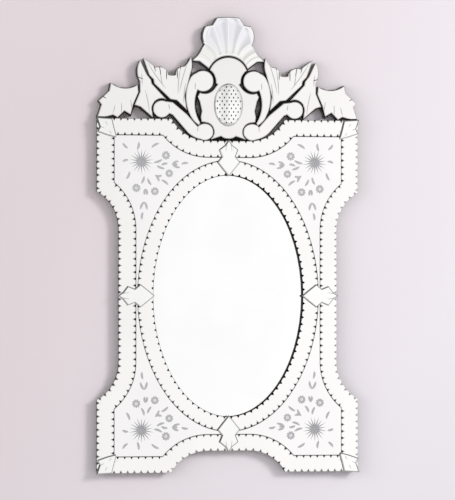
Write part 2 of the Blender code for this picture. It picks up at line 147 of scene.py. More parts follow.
def put(name, shape, finishes, node):
    """Makes a piece of a shape. It stands for a node of the solid model and rides where it did."""
    shape.normal_update()
    bmesh.ops.recalc_face_normals(shape, faces=shape.faces)
    mesh = bpy.data.meshes.new(name)
    shape.to_mesh(mesh)
    shape.free()
    for finish in finishes:
        mesh.materials.append(finish)
    piece = bpy.data.objects.new(name, mesh)
    bpy.context.scene.collection.objects.link(piece)
    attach(piece, "root")
    if node:
        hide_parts(node)
    return piece


def carve(piece, tool, ground=0):
    """Takes the tool's shape out of a piece. The cut has the piece's finish of that number."""
    for face in tool.faces:
        face.material_index = ground
    mesh = bpy.data.meshes.new("tool")
    bmesh.ops.recalc_face_normals(tool, faces=tool.faces)
    tool.to_mesh(mesh)
    tool.free()
    cutter = bpy.data.objects.new("tool", mesh)
    bpy.context.scene.collection.objects.link(cutter)
    modifier = piece.modifiers.new("cut", "BOOLEAN")
    modifier.operation = "DIFFERENCE"
    modifier.solver = "EXACT"
    modifier.use_self = True
    modifier.object = cutter
    bpy.context.view_layer.update()
    graph = bpy.context.evaluated_depsgraph_get()
    cut = bpy.data.meshes.new_from_object(piece.evaluated_get(graph))
    piece.modifiers.clear()
    piece.data = cut
    bpy.data.objects.remove(cutter)
    return piece


class Finish:
    """A socket of a finish's nodes. Sums with it add the nodes that do them."""

    def __init__(self, tree, socket=None):
        self.tree = tree
        self.socket = socket

    def node(self, kind, settings, values, output=0):
        made = self.tree.nodes.new(kind)
        for name, setting in settings.items():
            if name == "stops":
                ramp = made.color_ramp
                while len(ramp.elements) < len(setting):
                    ramp.elements.new(0.5)
                for element, (position, colour) in zip(ramp.elements, setting):
                    element.position = position
                    element.color = (*colour, 1)
            else:
                setattr(made, name, setting)
        for name, value in values.items():
            if isinstance(value, Finish):
                self.tree.links.new(value.socket, made.inputs[name])
            else:
                made.inputs[name].default_value = value
        return Finish(self.tree, made.outputs[output])

    def sum(self, operation, first, second):
        return self.node("ShaderNodeMath", {"operation": operation}, {0: first, 1: second})

    def __add__(self, other):
        return self.sum("ADD", self, other)

    def __sub__(self, other):
        return self.sum("SUBTRACT", self, other)

    def __rsub__(self, other):
        return self.sum("SUBTRACT", other, self)

    def __mul__(self, other):
        return self.sum("MULTIPLY", self, other)

    __radd__ = __add__
    __rmul__ = __mul__


def new_finish(name, constants):
    """A finish whose even values are set on the shader, and the place on the piece to work from."""
    made = bpy.data.materials.new(name)
    made.use_nodes = True
    shader = made.node_tree.nodes["Principled BSDF"]
    for socket, value in constants.items():
        shader.inputs[socket].default_value = value
    start = Finish(made.node_tree)
    place = start.node("ShaderNodeTexCoord", {}, {}, "Object")
    return made, place, shader


def noise(place, scale, detail=2.0, stretch=(1, 1, 1)):
    spread = place.node("ShaderNodeMapping", {}, {"Vector": place, "Scale": stretch})
    values = {"Vector": spread, "Scale": scale, "Detail": detail}
    return place.node("ShaderNodeTexNoise", {}, values, "Fac")


def link(value, shader, name):
    value.tree.links.new(value.socket, shader.inputs[name])


def colours(value, *stops):
    return value.node("ShaderNodeValToRGB", {"stops": stops}, {"Fac": value}, "Color")


def relief(height, depth):
    return height.node("ShaderNodeBump", {}, {"Height": height, "Distance": depth}, "Normal")


def satin_black():
    made, place, shader = new_finish("satin_black_paint", {"Specular IOR Level": 0.06})
    mottle = noise(place, 18, 4)
    orange_peel = noise(place, 900, 2)
    dark, light = (0.004, 0.003, 0.004), (0.010, 0.008, 0.009)
    link(colours(mottle, (0.3, dark), (0.7, light)), shader, "Base Color")
    link(0.42 + 0.16 * mottle, shader, "Roughness")
    link(relief(orange_peel, 0.00006), shader, "Normal")
    return made


black = satin_black()
board_low, board_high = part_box("frame_board")
back_loops = flat_loops("frame_board")
front_loops = flat_loops("frame_board", at_front=True)


def holds_middle(loop):
    """Whether a loop is the oval one, round the middle of the mirror."""
    middle = Vector((0, (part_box("centre_mirror")[0].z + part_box("centre_mirror")[1].z) / 2))
    xs = [x for x, _ in loop]
    zs = [z for _, z in loop]
    return min(xs) < middle.x < max(xs) and min(zs) < middle.y < max(zs)


SET_BACK = 0.0028
BAR_DEPTH = 0.1


def set_back(loop, distance):
    """Bars along the outline, as wide to each side: without them the board is that much smaller."""
    tool = bmesh.new()
    for here, after in zip(loop, loop[1:] + loop[:1]):
        along = after - here
        middle = (here + after) / 2
        bar = bmesh.ops.create_cube(tool, size=1)["verts"]
        bmesh.ops.scale(tool, verts=bar, vec=(2 * distance, BAR_DEPTH, along.length + distance / 2))
        turn = Matrix.Rotation(math.atan2(along.x, along.y), 3, "Y")
        bmesh.ops.rotate(tool, verts=bar, matrix=turn)
        bmesh.ops.translate(tool, verts=bar, vec=(middle.x, 0, middle.y))
    return tool


outline, *holes = [fine_arcs(loop) for loop in front_loops]
board_shape, board_face = slab(outline, board_high.y, board_low.y)
bmesh.ops.bevel(
    board_shape, geom=board_face.edges[:], offset=BOARD_EDGE, segments=1, profile=0.5,
    affect="EDGES", clamp_overlap=True, material=-1,
)
board = put("black_board", board_shape, [black], "frame_board")
carve(board, set_back(outline, SET_BACK))
openings = bmesh.new()
for hole in holes:
    hole_shape, _ = slab(hole, board_high.y + CUT_PAST, board_low.y - CUT_PAST)
    hole_mesh = bpy.data.meshes.new("hole")
    hole_shape.to_mesh(hole_mesh)
    openings.from_mesh(hole_mesh)
    hole_shape.free()
carve(board, openings)
plate_low, plate_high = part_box("centre_mirror")
rebate = next(fine_arcs(loop) for loop in back_loops[1:] if holds_middle(loop))
carve(board, slab(rebate, board_high.y + CUT_PAST, plate_low.y - PLATE_PLAY)[0])


# The oval mirror plate lies against the lip of the opening from behind. It is one sheet of float
# glass, silvered on its back, with a seamed edge.

SEAMED_EDGE = 0.0006


def mirror(name, tone, ripple):
    """Silvered glass: its tone is a little uneven, and its face ripples by some
    hundredths of a millimetre."""
    made, place, shader = new_finish(name, {"Metallic": 1.0, "Roughness": 0.012})
    cloud = noise(place, 5, 3)
    darker = tuple(0.965 * part for part in tone)
    link(colours(cloud, (0.35, darker), (0.65, tone)), shader, "Base Color")
    link(relief(noise(place, 9, 1), ripple), shader, "Normal")
    return made


def ground_edge():
    made, place, shader = new_finish("ground_edge_and_painted_pit_shade", {"Specular IOR Level": 0.3})
    chatter = noise(place, 700, 3)
    dark, light = (0.012, 0.016, 0.015), (0.05, 0.06, 0.055)
    link(colours(chatter, (0.3, dark), (0.7, light)), shader, "Base Color")
    link(0.3 + 0.3 * chatter, shader, "Roughness")
    link(relief(chatter, 0.0001), shader, "Normal")
    return made


bright_mirror = mirror("bright_silvered_glass", (1.0, 1.0, 1.0), 0.00002)
edge_finish = ground_edge()
plate_loop = fine_arcs(flat_loops("centre_mirror")[0])
plate_shape, plate_face = slab(plate_loop, plate_high.y, plate_low.y)
bmesh.ops.bevel(
    plate_shape, geom=plate_face.edges[:], offset=SEAMED_EDGE, segments=1, profile=0.5, affect="EDGES",
    clamp_overlap=True, material=-1,
)
put("oval_mirror_plate", plate_shape, [bright_mirror], "centre_mirror")


# The back panel is raw hardboard, smooth towards the glass. It closes the rebate and is held by
# flat steel points pushed into the rebate's wall.

def raw_hardboard():
    made, place, shader = new_finish("raw_hardboard", {"Specular IOR Level": 0.25})
    fibre = noise(place, 60, 6, (1, 1, 3))
    fleck = noise(place, 420, 2)
    blend = 0.65 * fibre + 0.35 * fleck
    dark, brown, light = (0.085, 0.043, 0.02), (0.15, 0.082, 0.04), (0.24, 0.14, 0.075)
    link(colours(blend, (0.3, dark), (0.5, brown), (0.7, light)), shader, "Base Color")
    link(0.7 + 0.25 * fleck, shader, "Roughness")
    link(relief(blend, 0.0003), shader, "Normal")
    return made


def zinc_steel():
    made, place, shader = new_finish("zinc_steel", {"Metallic": 1.0})
    spangle = noise(place, 300, 2)
    link(colours(spangle, (0.35, (0.42, 0.43, 0.44)), (0.65, (0.6, 0.61, 0.62))), shader, "Base Color")
    link(0.3 + 0.2 * spangle, shader, "Roughness")
    return made


panel_low, panel_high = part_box("back_panel")
panel_shape, _ = slab(fine_arcs(flat_loops("back_panel")[0]), panel_high.y, panel_low.y)
put("hardboard_back", panel_shape, [raw_hardboard()], "back_panel")

POINT_COUNT = 14
POINT_LENGTH = 0.016
POINT_WIDTH = 0.009
POINT_THICKNESS = 0.0006
POINT_BITE = 0.006
POINT_TIP_SHARE = 0.25
POINT_LIFT = 0.6
panel_middle = (panel_low + panel_high) / 2
half_axes = (panel_high - panel_low) / 2
points_shape = bmesh.new()
for number in range(POINT_COUNT):
    angle = 2 * math.pi * (number + 0.5) / POINT_COUNT
    edge_point = Vector((half_axes.x * math.cos(angle), 0, half_axes.z * math.sin(angle)))
    outward = Vector((math.cos(angle) / half_axes.x, 0, math.sin(angle) / half_axes.z)).normalized()
    turn = math.atan2(outward.x, outward.z)
    centre = Vector((panel_middle.x, panel_high.y + POINT_THICKNESS * POINT_LIFT, panel_middle.z))
    centre += edge_point + outward * (POINT_BITE - POINT_LENGTH / 2)
    blade = bmesh.ops.create_cube(points_shape, size=1)["verts"]
    for vert in blade:
        if vert.co.z > 0:
            vert.co.x *= POINT_TIP_SHARE
    bmesh.ops.scale(points_shape, verts=blade, vec=(POINT_WIDTH, POINT_THICKNESS, POINT_LENGTH))
    bmesh.ops.rotate(points_shape, verts=blade, matrix=Matrix.Rotation(turn, 3, "Y"))
    bmesh.ops.translate(points_shape, verts=blade, vec=centre)
put("steel_points", points_shape, [zinc_steel()], None)


# The outer strips are cut from mirror glass to the frame's outline, from the middle of each side to
# the mitre at each corner. Both their edges are ground with even notches.

STRIP_BEVEL = 0.0015
STRIP_BEVEL_FALL = 0.0006
# The finishes of a piece of cut glass, in the order of its slots
POLISHED, EDGE, FROSTED, FLUTED = range(4)
FLAT = 0.999
STEEP = 0.5


def close_tips(shape):
    """Where a tip is narrower than its two bevels, they cross: their edges are drawn to where they
    first meet, one edge at a time."""
    while True:
        shape.normal_update()
        fronts = [face for face in shape.faces if face.normal.y < -FLAT]
        front = max(fronts, key=lambda face: face.calc_area())
        inner = set(front.verts)
        crossed = None
        for ridge in front.edges:
            slope = next(face for face in ridge.link_faces if face is not front)
            spokes = [
                next(
                    edge.other_vert(end) for edge in slope.edges
                    if end in edge.verts and edge != ridge
                )
                for end in ridge.verts
            ]
            along = ridge.verts[1].co - ridge.verts[0].co
            if along.dot(spokes[1].co - spokes[0].co) < 0:
                crossed = ridge
                break
        if crossed is None:
            return
        lines = []
        for end in crossed.verts:
            beside = next(
                edge.other_vert(end) for edge in end.link_edges
                if edge != crossed and edge.other_vert(end) in inner
            )
            lines += [end.co, beside.co]
        meet = intersect_line_line(*lines)[0]
        bmesh.ops.pointmerge(shape, verts=crossed.verts[:], merge_co=meet)


def cut_glass(node, finish, bevel, fall):
    """A flat piece of mirror glass with a polished bevel round its face and ground edges."""
    low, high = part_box(node)
    shape, face = slab(fine_arcs(flat_loops(node)[0]), high.y, low.y + fall)
    for side in shape.faces:
        side.material_index = EDGE if abs(side.normal.y) < STEEP else POLISHED
    bmesh.ops.inset_region(
        shape, faces=[face], thickness=bevel, depth=fall, use_even_offset=True, use_boundary=True
    )
    close_tips(shape)
    for slope in shape.faces:
        if STEEP < abs(slope.normal.y) < FLAT:
            slope.material_index = POLISHED
    return put(f"{node}_glass", shape, [finish, edge_finish, ground_cut], node)


def frosted_cut():
    made, place, shader = new_finish("wheel_cut_frost", {"IOR": 1.5, "Specular IOR Level": 0.3})
    grit = noise(place, 1500, 2)
    link(colours(grit, (0.3, (0.42, 0.42, 0.44)), (0.7, (0.60, 0.60, 0.62))), shader, "Base Color")
    link(0.5 + 0.3 * grit, shader, "Roughness")
    link(relief(grit, 0.00008), shader, "Normal")
    return made


ground_cut = frosted_cut()
frame_mirror = mirror("silvered_glass", (0.98, 0.965, 0.955), 0.00003)
for place_name in (
    "top_left", "top_right", "bottom_left", "bottom_right",
    "left_upper", "left_lower", "right_upper", "right_lower",
):
    cut_glass(f"outer_strip_{place_name}", frame_mirror, STRIP_BEVEL, STRIP_BEVEL_FALL)


# The corner panels are sheets of mirror glass between the outer and the inner strips. Each has a
# spray of flowers cut into its face on a wheel, which leaves the cuts grey.

QUARTERS = {
    "top_left": (-1, 1), "top_right": (1, 1), "bottom_left": (-1, -1), "bottom_right": (1, -1)
}
PANEL_BEVEL = 0.0009
PANEL_BEVEL_FALL = 0.0004
CUT_DEPTH = 0.0006
DAISY_RAYS = 18
DAISY_VALLEY = 0.34
DAISY_DEPTH = 0.0016
DAISY_SINK = 0.9
DAISY_SHORTER = 0.92
ROSETTE_PETALS = 9
ROSETTE_INNER = 0.0030
PETAL_WIDTH = 0.0072
SEED = 0.0017
LEAF_WIDTH = 0.0066
LEAF_BEND = 0.32
# Places are measured from the centre plane and from the middle of the frame, in the upper right
# quarter: the flowers' middles with their radius, and each leaf from its root to its tip.
DAISY = (0.2358, 0.3560, 0.0365)
ROSETTES = [
    (0.1698, 0.3726, 0.0118), (0.1608, 0.3250, 0.0110), (0.2496, 0.2856, 0.0118),
    (0.1997, 0.2770, 0.0114),
]
LEAVES = [
    ((0.2723, 0.3904), (0.2863, 0.4049)), ((0.2472, 0.3865), (0.2430, 0.4082)),
    ((0.2089, 0.3925), (0.1880, 0.4049)), ((0.2708, 0.3599), (0.2872, 0.3555)),
    ((0.2672, 0.3294), (0.2768, 0.3087)), ((0.2029, 0.3534), (0.1796, 0.3620)),
    ((0.1826, 0.3466), (0.1647, 0.3510)), ((0.1946, 0.3457), (0.1731, 0.3371)),
    ((0.2284, 0.3175), (0.2364, 0.2968)), ((0.2191, 0.3116), (0.2089, 0.2933)),
    ((0.1988, 0.3214), (0.1880, 0.3027)), ((0.1970, 0.3175), (0.1802, 0.3193)),
    ((0.1826, 0.3075), (0.1635, 0.2939)), ((0.2251, 0.2838), (0.2275, 0.2672)),
    ((0.2245, 0.2838), (0.2206, 0.2672)), ((0.2284, 0.2494), (0.2388, 0.2287)),
    ((0.2281, 0.2494), (0.2209, 0.2275)), ((0.2316, 0.2216), (0.2346, 0.2015)),
    ((0.1533, 0.3489), (0.1348, 0.3578)), ((0.1533, 0.3489), (0.1312, 0.3401)),
    ((0.1282, 0.3495), (0.1091, 0.3525)), ((0.1527, 0.3495), (0.1378, 0.3495)),
]


def wheel_cut(tool, root, tip, width, level, depth=CUT_DEPTH, bend=0.0, steps=(8, 6)):
    """One pass of the wheel from root to tip: a long shallow lens, straight or a little bent."""
    along = tip - root
    middle = (root + tip) / 2
    round_steps, long_steps = steps
    lens = bmesh.ops.create_uvsphere(
        tool, u_segments=round_steps, v_segments=long_steps, radius=0.5
    )["verts"]
    bmesh.ops.scale(tool, verts=lens, vec=(width, 2 * depth, along.length))
    for vert in lens:
        vert.co.x += bend * along.length * (0.25 - (vert.co.z / along.length) ** 2)
    turn = Matrix.Rotation(math.atan2(along.x, along.y), 3, "Y")
    bmesh.ops.rotate(tool, verts=lens, matrix=turn)
    bmesh.ops.translate(tool, verts=lens, vec=(middle.x, level, middle.y))


def daisy(tool, middle, radius, level):
    """A star of V cuts that meet in its middle, every other one a little shorter."""
    shape = bmesh.ops.create_cone(
        tool, cap_ends=True, segments=2 * DAISY_RAYS, radius1=radius, radius2=0, depth=2 * DAISY_DEPTH,
        matrix=Matrix.Rotation(-math.pi / 2, 4, "X"),
    )["verts"]
    rim = [vert for vert in shape if vert.co.y < 0]
    for vert in rim:
        turn = round(math.atan2(vert.co.x, vert.co.z) / (math.pi / DAISY_RAYS))
        share = DAISY_VALLEY if turn % 2 else (1.0 if turn % 4 else DAISY_SHORTER)
        vert.co.x *= share
        vert.co.z *= share
    bmesh.ops.translate(tool, verts=shape, vec=(middle.x, level + DAISY_SINK * DAISY_DEPTH, middle.y))


def rosette(tool, middle, radius, level):
    """Short broad petals round a small clear ring, with one seed in the middle."""
    seed = Vector((0, SEED))
    wheel_cut(tool, middle - seed, middle + seed, 2 * SEED, level, steps=(6, 4))
    for number in range(ROSETTE_PETALS):
        lean = 2 * math.pi * (number + 0.5) / ROSETTE_PETALS
        away = Vector((math.sin(lean), math.cos(lean)))
        ends = middle + away * ROSETTE_INNER, middle + away * radius
        wheel_cut(tool, *ends, PETAL_WIDTH, level, steps=(6, 4))


frame_middle = (plate_low.z + plate_high.z) / 2
panel_mirror = mirror("panel_silvered_glass", (0.97, 0.955, 0.955), 0.00003)
for quarter, (side_x, side_z) in QUARTERS.items():
    node = f"corner_panel_{quarter}"
    panel = cut_glass(node, panel_mirror, PANEL_BEVEL, PANEL_BEVEL_FALL)
    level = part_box(node)[0].y
    tool = bmesh.new()

    def on_panel(x, z):
        return Vector((side_x * x, frame_middle + side_z * z))
    daisy(tool, on_panel(*DAISY[:2]), DAISY[2], level)
    for x, z, radius in ROSETTES:
        rosette(tool, on_panel(x, z), radius, level)
    for number, (root, tip) in enumerate(LEAVES):
        bend = (LEAF_BEND if number % 2 == 0 else -LEAF_BEND) * side_x * side_z
        wheel_cut(tool, on_panel(*root), on_panel(*tip), LEAF_WIDTH, level, bend=bend, steps=(8, 5))
    carve(panel, tool, FROSTED)


# The inner strips run round the oval in four quarters. Their edge at the oval is ground with
# notches as well, at the same pitch as on the outer strips.

OVAL_NOTCH_PITCH = 0.0184
OVAL_NOTCH_WIDTH = 0.0108
OVAL_NOTCH_DEPTH = 0.0080
OVAL_MARGIN = 0.0014
OVAL_STEPS = 144
NOTCH_BASE = 0.0006
opening = next(hole for hole in holes if holds_middle(hole))
opening_half = Vector((max(x for x, _ in opening), max(z for _, z in opening) - frame_middle))


def oval_notches(keep, low, high):
    """Wedges all round the oval with their points outwards, where keep says so."""
    tool = bmesh.new()
    corners = opening[1:] + opening[:1]
    rim = sum((after - here).length for here, after in zip(opening, corners))
    pitch = rim / round(rim / OVAL_NOTCH_PITCH)
    gone = pitch / 2
    for here, after in zip(opening, corners):
        while gone < (after - here).length:
            point = here.lerp(after, gone / (after - here).length)
            gone += pitch
            if not keep(point):
                continue
            up = point.y - frame_middle
            out = Vector((point.x / opening_half.x ** 2, up / opening_half.y ** 2)).normalized()
            wedge = bmesh.ops.create_cone(
                tool, cap_ends=True, segments=3, radius1=1, radius2=1, depth=1,
                matrix=Matrix.Rotation(math.pi / 2, 4, "X"),
            )["verts"]
            size = (OVAL_NOTCH_WIDTH / 3 ** 0.5, high - low, OVAL_NOTCH_DEPTH / 1.5)
            bmesh.ops.scale(tool, verts=wedge, vec=size)
            turn = Matrix.Rotation(math.atan2(out.x, out.y), 3, "Y")
            bmesh.ops.rotate(tool, verts=wedge, matrix=turn)
            centre = point + out * (OVAL_NOTCH_DEPTH / 3 - NOTCH_BASE)
            bmesh.ops.translate(tool, verts=wedge, vec=(centre.x, (low + high) / 2, centre.y))
        gone -= (after - here).length
    return tool


def oval_edge(tool, low, high):
    """A plate a little larger than the opening: cut with it, the strips leave the board's rim bare."""
    plate = bmesh.ops.create_cone(
        tool, cap_ends=True, segments=OVAL_STEPS, radius1=1, radius2=1, depth=1,
        matrix=Matrix.Rotation(math.pi / 2, 4, "X"),
    )["verts"]
    size = (opening_half.x + OVAL_MARGIN, high - low, opening_half.y + OVAL_MARGIN)
    bmesh.ops.scale(tool, verts=plate, vec=size)
    bmesh.ops.translate(tool, verts=plate, vec=(0, (low + high) / 2, frame_middle))


for quarter, (side_x, side_z) in QUARTERS.items():
    node = f"inner_strip_{quarter}"
    strip = cut_glass(node, frame_mirror, STRIP_BEVEL, STRIP_BEVEL_FALL)
    strip_low, strip_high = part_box(node)

    def in_quarter(point):
        return point.x * side_x > NOTCH_BASE and (point.y - frame_middle) * side_z > NOTCH_BASE
    past_glass = strip_low.y - NOTCH_BASE, strip_high.y + NOTCH_BASE
    tool = oval_notches(in_quarter, *past_glass)
    oval_edge(tool, *past_glass)
    carve(strip, tool, EDGE)


# The clasps are small plates of cut glass that lie over the joints of the outer strips at the
# corners and in the middle of each side. Short veins are ground between their lobes.

CLASP_BEVEL = 0.0028
CLASP_BEVEL_FALL = 0.0022
VEIN_WIDTH = 0.0018
VEIN_DEPTH = 0.0004
CORNER_VEIN_BEND = 0.2
SIDE_VEIN_BEND = 0.25
# Each vein from root to tip, in shares of the clasp: across it from its middle and inwards from
# its outer end for a side clasp, and in from both sides of the corner for a corner clasp.
SIDE_VEINS = [((0.26, 0.32), (0.10, 0.07)), ((-0.26, 0.32), (-0.10, 0.07))]
CORNER_VEINS = [
    ((0.55, 0.38), (0.43, 0.18)), ((0.38, 0.55), (0.18, 0.43)), ((0.62, 0.66), (0.74, 0.84)),
]
clasp_mirror = mirror("clasp_silvered_glass", (0.98, 0.975, 0.97), 0.00003)
for quarter, (side_x, side_z) in QUARTERS.items():
    node = f"corner_clasp_{quarter}"
    clasp = cut_glass(node, clasp_mirror, CLASP_BEVEL, CLASP_BEVEL_FALL)
    low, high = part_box(node)
    corner = Vector((high.x if side_x > 0 else low.x, high.z if side_z > 0 else low.z))
    reach = Vector((high.x - low.x, high.z - low.z))
    tool = bmesh.new()
    for shares in CORNER_VEINS:
        ends = [
            corner - Vector((side_x * along * reach.x, side_z * down * reach.y))
            for along, down in shares
        ]
        bend = CORNER_VEIN_BEND * side_x * side_z
        wheel_cut(tool, *ends, VEIN_WIDTH, low.y, VEIN_DEPTH, bend)
    carve(clasp, tool, FROSTED)
for side, out in (("top", (0, 1)), ("bottom", (0, -1)), ("left", (-1, 0)), ("right", (1, 0))):
    node = f"side_clasp_{side}"
    clasp = cut_glass(node, clasp_mirror, CLASP_BEVEL, CLASP_BEVEL_FALL)
    low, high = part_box(node)
    middle = Vector(((low.x + high.x) / 2, (low.z + high.z) / 2))
    size = Vector((high.x - low.x, high.z - low.z))
    out = Vector(out)
    across = Vector((out.y, -out.x))
    long = abs(size.dot(out))
    wide = abs(size.dot(across))
    tool = bmesh.new()
    for shares in SIDE_VEINS:
        ends = [
            middle + across * (share_across * wide / 2) + out * (long / 2 - share_in * long)
            for share_across, share_in in shares
        ]
        bend = math.copysign(SIDE_VEIN_BEND, shares[1][0])
        wheel_cut(tool, *ends, VEIN_WIDTH, low.y, VEIN_DEPTH, bend)
    carve(clasp, tool, FROSTED)


# The crest's leaves and scrolls are cut from mirror glass and laid on the board a few millimetres
# apart, with a polished bevel round each and short cuts that part the leaves' lobes.

CREST_BEVEL = 0.0020
CREST_BEVEL_FALL = 0.0009
LEAF_CUT_WIDTH = 0.0024
LEAF_CUT_DEPTH = 0.0006
NICK_WIDTH = 0.0024
NICK_DEPTH = 0.0045
LEAF_CUT_BEND = 0.1
# Each cut from root to tip: from the centre plane, and up from the top edge of the frame
CREST_FOOT = 0.097
CREST_CUTS = {
    "outer_leaf": [
        ((0.307, 0.036), (0.313, 0.012)), ((0.290, 0.042), (0.290, 0.014)),
        ((0.266, 0.050), (0.262, 0.024)),
    ],
    "mid_leaf": [((0.226, 0.076), (0.214, 0.014)), ((0.236, 0.120), (0.234, 0.088))],
    "acanthus": [
        ((0.168, 0.078), (0.220, 0.150)), ((0.133, 0.070), (0.111, 0.150)),
        ((0.137, 0.064), (0.131, 0.132)), ((0.178, 0.086), (0.185, 0.126)),
        ((0.122, 0.040), (0.116, 0.098)),
    ],
    "c_scroll": [((0.0905, 0.098), (0.0915, 0.078))],
    "s_scroll": [((0.0835, -0.017), (0.0840, -0.034)), ((0.163, 0.040), (0.160, 0.024))],
}
# Narrow nicks right through the edge, that part the lobes
CREST_NICKS = {
    "acanthus": [
        ((0.1385, 0.106), (0.1385, 0.130)), ((0.168, 0.103), (0.168, 0.131)),
        ((0.183, 0.116), (0.188, 0.142)), ((0.197, 0.124), (0.205, 0.150)),
        ((0.131, 0.130), (0.128, 0.152)),
    ],
    "mid_leaf": [((0.231, 0.105), (0.247, 0.110))],
    "outer_leaf": [((0.345, 0.060), (0.330, 0.052))],
}
crest_mirror = mirror("crest_silvered_glass", (0.965, 0.945, 0.93), 0.00004)
for hand, side in (("left", -1), ("right", 1)):
    for form, cuts in CREST_CUTS.items():
        node = f"crest_{form}_{hand}"
        piece = cut_glass(node, crest_mirror, CREST_BEVEL, CREST_BEVEL_FALL)
        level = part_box(node)[0].y
        tool = bmesh.new()
        for cut in cuts:
            ends = [Vector((side * x, CREST_FOOT + z)) for x, z in cut]
            wheel_cut(tool, *ends, LEAF_CUT_WIDTH, level, LEAF_CUT_DEPTH, LEAF_CUT_BEND * side)
        carve(piece, tool, FROSTED)
        if form in CREST_NICKS:
            tool = bmesh.new()
            for nick in CREST_NICKS[form]:
                ends = [Vector((side * x, CREST_FOOT + z)) for x, z in nick]
                wheel_cut(tool, *ends, NICK_WIDTH, level, NICK_DEPTH, steps=(6, 6))
            carve(piece, tool, EDGE)
cartouche_mirror = mirror("cartouche_silvered_glass", (0.935, 0.915, 0.90), 0.00004)
cut_glass("crest_cartouche", cartouche_mirror, CREST_BEVEL, CREST_BEVEL_FALL)


# The shell at the top is one sheet of mirror glass. Hollow flutes are ground into its face, which
# spread from its foot and leave thin ridges between them.

SHELL_BEVEL = 0.0022
SHELL_BEVEL_FALL = 0.0014
FLUTE_SLOPE = 0.16
FLUTE_CLEARANCE = 0.00005
FLUTE_FADE = 0.12
FLUTE_STEPS = (12, 26)
FLUTE_LID = 0.001
RIDGE_WIDTH = 0.0017
# Each ridge between two flutes bends through its foot, its middle and its tip, placed as the
# crest's cuts are. Each flute past a ridge swells at its tip by this much beyond the ridges' ends.
RIDGES = [
    ((0.0, 0.173), (0.0, 0.222), (0.0, 0.268)), ((0.0165, 0.174), (0.027, 0.215), (0.0405, 0.246)),
    ((0.0285, 0.168), (0.0425, 0.189), (0.0625, 0.202)),
    ((0.0405, 0.151), (0.0585, 0.169), (0.0760, 0.177)),
    ((0.0480, 0.142), (0.0660, 0.1585), (0.0850, 0.1640)),
]
SWELLS = [0.0100, 0.0130, 0.0030, 0.0020]


def flutes_painted_sky_and_shade(low, high):
    """Painted reflection and shade on the flutes: silvered glass set darker than the shell's face,
    painted warm at the foot and bluish at the top, as if it mirrored the sky.
    """
    made, place, shader = new_finish("flutes_painted_sky_and_shade", {"Metallic": 1.0, "Roughness": 0.03})
    height = place.node("ShaderNodeSeparateXYZ", {}, {"Vector": place}, "Z")
    share = (height - low.z) * (1 / (high.z - low.z)) + 0.3 * noise(place, 14, 2) - 0.15
    painted_foot_tone, painted_sky_tone = (0.93, 0.92, 0.895), (0.865, 0.86, 0.91)
    link(colours(share, (0.25, painted_foot_tone), (0.6, painted_sky_tone)), shader, "Base Color")
    link(relief(noise(place, 60, 2), 0.00004), shader, "Normal")
    return made


def along_ridge(ridge, share):
    foot, middle, tip = (Vector(point) for point in ridge)
    return (
        foot * (1 - share) * (1 - 2 * share) + middle * 4 * share * (1 - share)
        + tip * share * (2 * share - 1)
    )


def flute(tool, first, second, swell, hand, level):
    """A hollow between two ridges: a grid bent to its floor, closed above the face of the glass."""
    across_steps, along_steps = FLUTE_STEPS
    grid = bmesh.ops.create_grid(tool, x_segments=across_steps, y_segments=along_steps, size=0.5)
    way = (Vector(first[2]) + Vector(second[2]) - Vector(first[0]) - Vector(second[0])).normalized()
    for vert in grid["verts"]:
        across, share = 2 * vert.co.x, vert.co.y + 0.5
        left, right = along_ridge(first, share), along_ridge(second, share)
        width = (right - left).length
        inner = 1 - RIDGE_WIDTH / width
        spot = left.lerp(right, 0.5 + 0.5 * across * inner)
        spot += way * swell * share ** 3 * (1 - across ** 2)
        fade = min(1, share / FLUTE_FADE, (1 - share) / FLUTE_FADE)
        dip = FLUTE_SLOPE * width / 4 * (1 - across ** 2) * fade * (2 - fade) - FLUTE_CLEARANCE
        vert.co = (hand * spot.x, level + dip, CREST_FOOT + spot.y)
    floor_faces = list(dict.fromkeys(face for vert in grid["verts"] for face in vert.link_faces))
    lid = bmesh.ops.extrude_face_region(tool, geom=floor_faces, use_keep_orig=True)["geom"]
    for vert in (item for item in lid if isinstance(item, bmesh.types.BMVert)):
        vert.co.y = level - 2 * FLUTE_CLEARANCE - FLUTE_LID


shell_low, shell_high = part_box("crest_shell")
shell_mirror = mirror("shell_silvered_glass", (1.0, 1.0, 1.0), 0.00003)
shell = cut_glass("crest_shell", shell_mirror, SHELL_BEVEL, SHELL_BEVEL_FALL)
# The flutes' floors take a darker, bluish finish: painted shade and painted sky reflection.
shell.data.materials.append(flutes_painted_sky_and_shade(shell_low, shell_high))
for first, second, swell in zip(RIDGES, RIDGES[1:], SWELLS):
    for hand in (-1, 1):
        tool = bmesh.new()
        flute(tool, first, second, swell, hand, shell_low.y)
        carve(shell, tool, FLUTED)


# The cabochon is a low oval dome of thick glass on the cartouche, with a bevel round it. It is cut
# all over into small diamonds, with a deeper pit wherever two cuts cross.

RIM_HEIGHT = 0.0022
RING_WIDTH = 0.0030
RING_RISE = 0.0014
DOME_STEPS = 96
DIAMOND = (0.0124, 0.0190)
DIAMOND_RISE = 0.0002
PIT_RADIUS = 0.0028
PIT_DEPTH = 0.0018
# Marks for the faces of the crown and of its pits while it is being cut
CROWN, PIT = 2, 3
RING_STEEP = 0.3
dome_low, dome_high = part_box("crest_cabochon")
dome_middle = (dome_low + dome_high) / 2
dome_half = (dome_high - dome_low) / 2


def cut_crystal():
    made, place, shader = new_finish("cut_crystal", {"Metallic": 1.0})
    cloud = noise(place, 40, 3)
    link(colours(cloud, (0.3, (0.93, 0.925, 0.925)), (0.7, (1.0, 0.995, 0.99))), shader, "Base Color")
    link(0.03 + 0.05 * cloud, shader, "Roughness")
    link(relief(noise(place, 300, 2), 0.00002), shader, "Normal")
    return made


def numbered(shape, number):
    """The faces with this finish, and their edges and corners, in a fixed order."""
    faces = [face for face in shape.faces if face.material_index == number]
    edges = dict.fromkeys(edge for face in faces for edge in face.edges)
    verts = dict.fromkeys(vert for face in faces for vert in face.verts)
    return faces, list(edges), list(verts)


